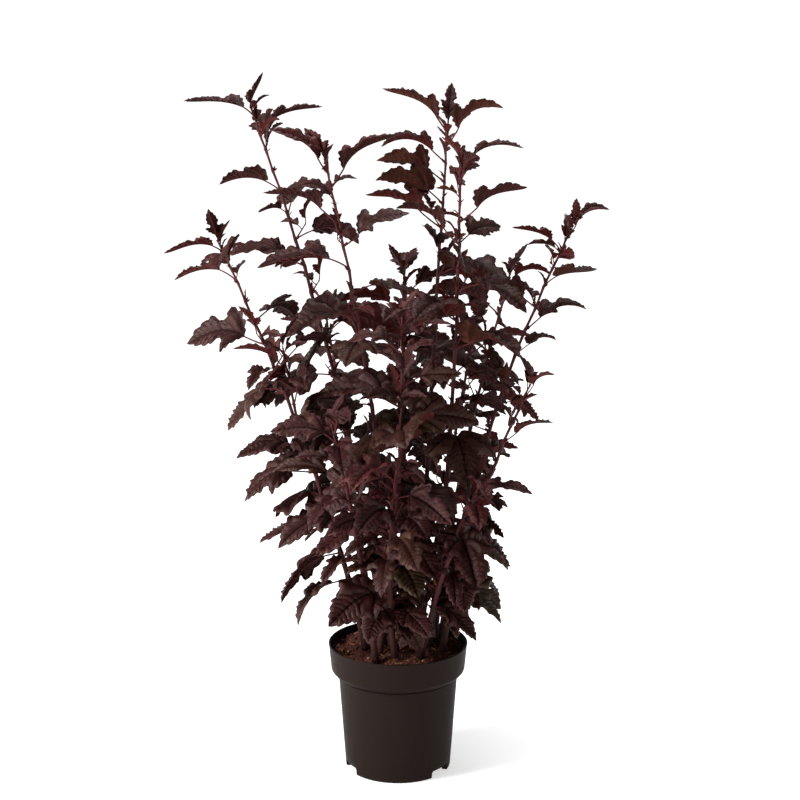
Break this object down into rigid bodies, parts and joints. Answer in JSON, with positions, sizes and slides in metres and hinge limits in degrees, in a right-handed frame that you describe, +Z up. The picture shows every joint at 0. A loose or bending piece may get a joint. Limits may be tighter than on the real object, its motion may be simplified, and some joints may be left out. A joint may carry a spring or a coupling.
{
  "type": "potted ninebark shrub",
  "caption": "Dark-leaved flowering shrub with upright canes and three-lobed leaves, standing in a plain round nursery pot filled with potting soil.",
  "frame": {"origin": "on the ground under the middle of the whole plant, level with the foot of the pot", "axes": "+Z up along the canes, +X to the right and +Y away from someone who sees the plant as the picture shows it"},
  "size_m": [0.5974, 0.5146, 0.9333],
  "materials": {
    "pot": "matt moulded dark warm grey",
    "soil": "moist peat and coir, rough",
    "bark": "smooth young maroon bark",
    "leaves": "dark purple leaf with a satin sheen"
  },
  "bodies": {
    "root": {"pot": "pot", "potting_soil": "soil", "cane_left_tall": "bark", "foliage_left_tall_lower": "leaves", "foliage_left_tall_upper": "leaves", "cane_left_middle": "bark", "foliage_left_middle_lower": "leaves", "foliage_left_middle_upper": "leaves", "cane_left_outer": "bark", "foliage_left_outer_lower": "leaves", "foliage_left_outer_upper": "leaves", "cane_front_centre": "bark", "foliage_front_centre_lower": "leaves", "foliage_front_centre_upper": "leaves", "cane_right_tall": "bark", "foliage_right_tall_lower": "leaves", "foliage_right_tall_upper": "leaves", "cane_right_middle": "bark", "foliage_right_middle_lower": "leaves", "foliage_right_middle_upper": "leaves", "cane_right_outer": "bark", "foliage_right_outer_lower": "leaves", "foliage_right_outer_upper": "leaves", "cane_right_back": "bark", "foliage_right_back_lower": "leaves", "foliage_right_back_upper": "leaves", "cane_right_low": "bark", "foliage_right_low_lower": "leaves", "foliage_right_low_upper": "leaves", "cane_front_low": "bark", "foliage_front_low_lower": "leaves", "foliage_front_low_upper": "leaves", "cane_front_right": "bark", "foliage_front_right_lower": "leaves", "foliage_front_right_upper": "leaves", "cane_front_left": "bark", "foliage_front_left_lower": "leaves", "foliage_front_left_upper": "leaves", "cane_back_left": "bark", "foliage_back_left_lower": "leaves", "foliage_back_left_upper": "leaves", "cane_back_centre": "bark", "foliage_back_centre_lower": "leaves", "foliage_back_centre_upper": "leaves", "cane_back_right": "bark", "foliage_back_right_lower": "leaves", "foliage_back_right_upper": "leaves"}
  },
  "joints": []
}
